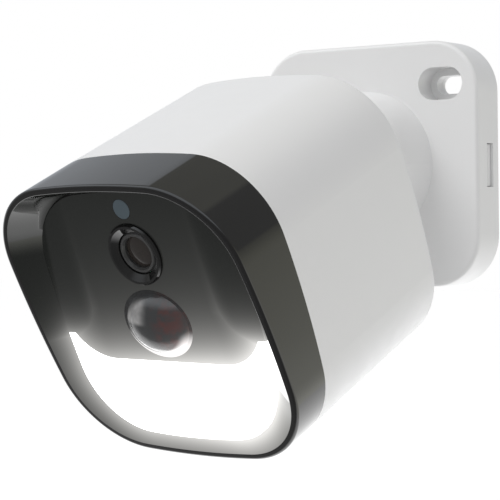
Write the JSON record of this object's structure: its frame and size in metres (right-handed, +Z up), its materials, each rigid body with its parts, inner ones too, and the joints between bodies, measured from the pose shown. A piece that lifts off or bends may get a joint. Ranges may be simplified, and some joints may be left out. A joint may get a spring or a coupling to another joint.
{
  "type": "floodlight security camera",
  "caption": "Rounded-square floodlight camera with a raked black hood, lens, motion dome and lit window, on a ball-jointed wall plate.",
  "frame": {"origin": "centre of the wall plate's back face", "axes": "-Y points out of the wall towards the viewer, +Z is up, +X is to the right seen from the front"},
  "size_m": [0.085, 0.1308, 0.1108],
  "materials": {
    "white_plastic": "satin moulded plastic",
    "black_gloss": "polished piano black",
    "dark_panel": "smoked acrylic",
    "lens_black": "matt black",
    "lens_glass": "coated glass",
    "diffuser": "opal acrylic, lit",
    "motion_lens": "smoked polyethylene dome",
    "sensor_window": "tinted clear plastic",
    "rubber": "soft silicone",
    "black_rubber": "soft silicone",
    "steel": "nickel plated",
    "brass": "machined",
    "board": "solder-masked glass fibre",
    "chip": "moulded epoxy",
    "metal_can": "tin plated",
    "led": "phosphor on ceramic",
    "reflector": "white reflector",
    "heat_sink": "extruded",
    "cell": "shrink sleeve",
    "frame_plastic": "moulded",
    "speaker": "moulded frame and cone"
  },
  "bodies": {
    "mount": {"mount_base": "white_plastic", "back_plate": "white_plastic"},
    "clamp_ring": {"lock_ring": "white_plastic"},
    "pan_pad": {"ball_pad": "black_rubber"},
    "stem": {"ball_stud": "steel", "stud_washer": "black_rubber"},
    "port_flap": {"port_cover": "rubber"},
    "reset_plunger": {"reset_button": "white_plastic"},
    "camera": {"housing": "white_plastic", "thread_insert": "brass", "housing_screws": "steel", "front_bezel": "black_gloss", "front_gasket": "black_rubber", "front_panel": "dark_panel", "light_diffuser": "diffuser", "light_reflector": "reflector", "led_board": "board", "floodlight_leds": "led", "heat_sink": "heat_sink", "lens_ring": "black_gloss", "lens_barrel": "lens_black", "lens_glass": "lens_glass", "lens_holder": "lens_black", "image_sensor": "chip", "camera_board": "board", "sensor_board": "board", "pir_sensor": "metal_can", "pir_lens": "motion_lens", "sensor_window": "sensor_window", "light_sensor": "chip", "battery_cells": "cell", "battery_tray": "frame_plastic", "chassis": "frame_plastic", "main_board": "board", "board_screws": "steel", "board_chips": "chip", "usb_port": "metal_can", "reset_switch": "chip", "speaker": "speaker", "microphone": "metal_can", "antenna": "board"}
  },
  "joints": [
    {"name": "lock_ring_turn", "type": "hinge", "parent": "mount", "child": "clamp_ring", "pos_m": [0, -0.025, 0], "axis": [0, -1, 0], "range_deg": [0, 120]},
    {"name": "ball_pan", "type": "hinge", "parent": "mount", "child": "pan_pad", "pos_m": [0, -0.025, 0], "axis": [0, 0, 1], "range_deg": [-20, 30]},
    {"name": "ball_tilt", "type": "hinge", "parent": "pan_pad", "child": "stem", "pos_m": [0, -0.025, 0], "axis": [0.9962, -0.0872, 0], "range_deg": [-34, 11]},
    {"name": "ball_spin", "type": "hinge", "parent": "stem", "child": "camera", "pos_m": [0, -0.025, 0], "axis": [-0.0797, -0.9108, -0.4051], "continuous": true},
    {"name": "port_cover_hinge", "type": "hinge", "parent": "camera", "child": "port_flap", "pos_m": [-0.00324, -0.06203, -0.06309], "axis": [0.9962, -0.0872, 0], "range_deg": [0, 100]},
    {"name": "reset_press", "type": "slide", "parent": "camera", "child": "reset_plunger", "axis": [-0.0353, -0.4036, 0.9143], "range_m": [0, 0.0004], "stiffness_N_per_m": 600}
  ]
}
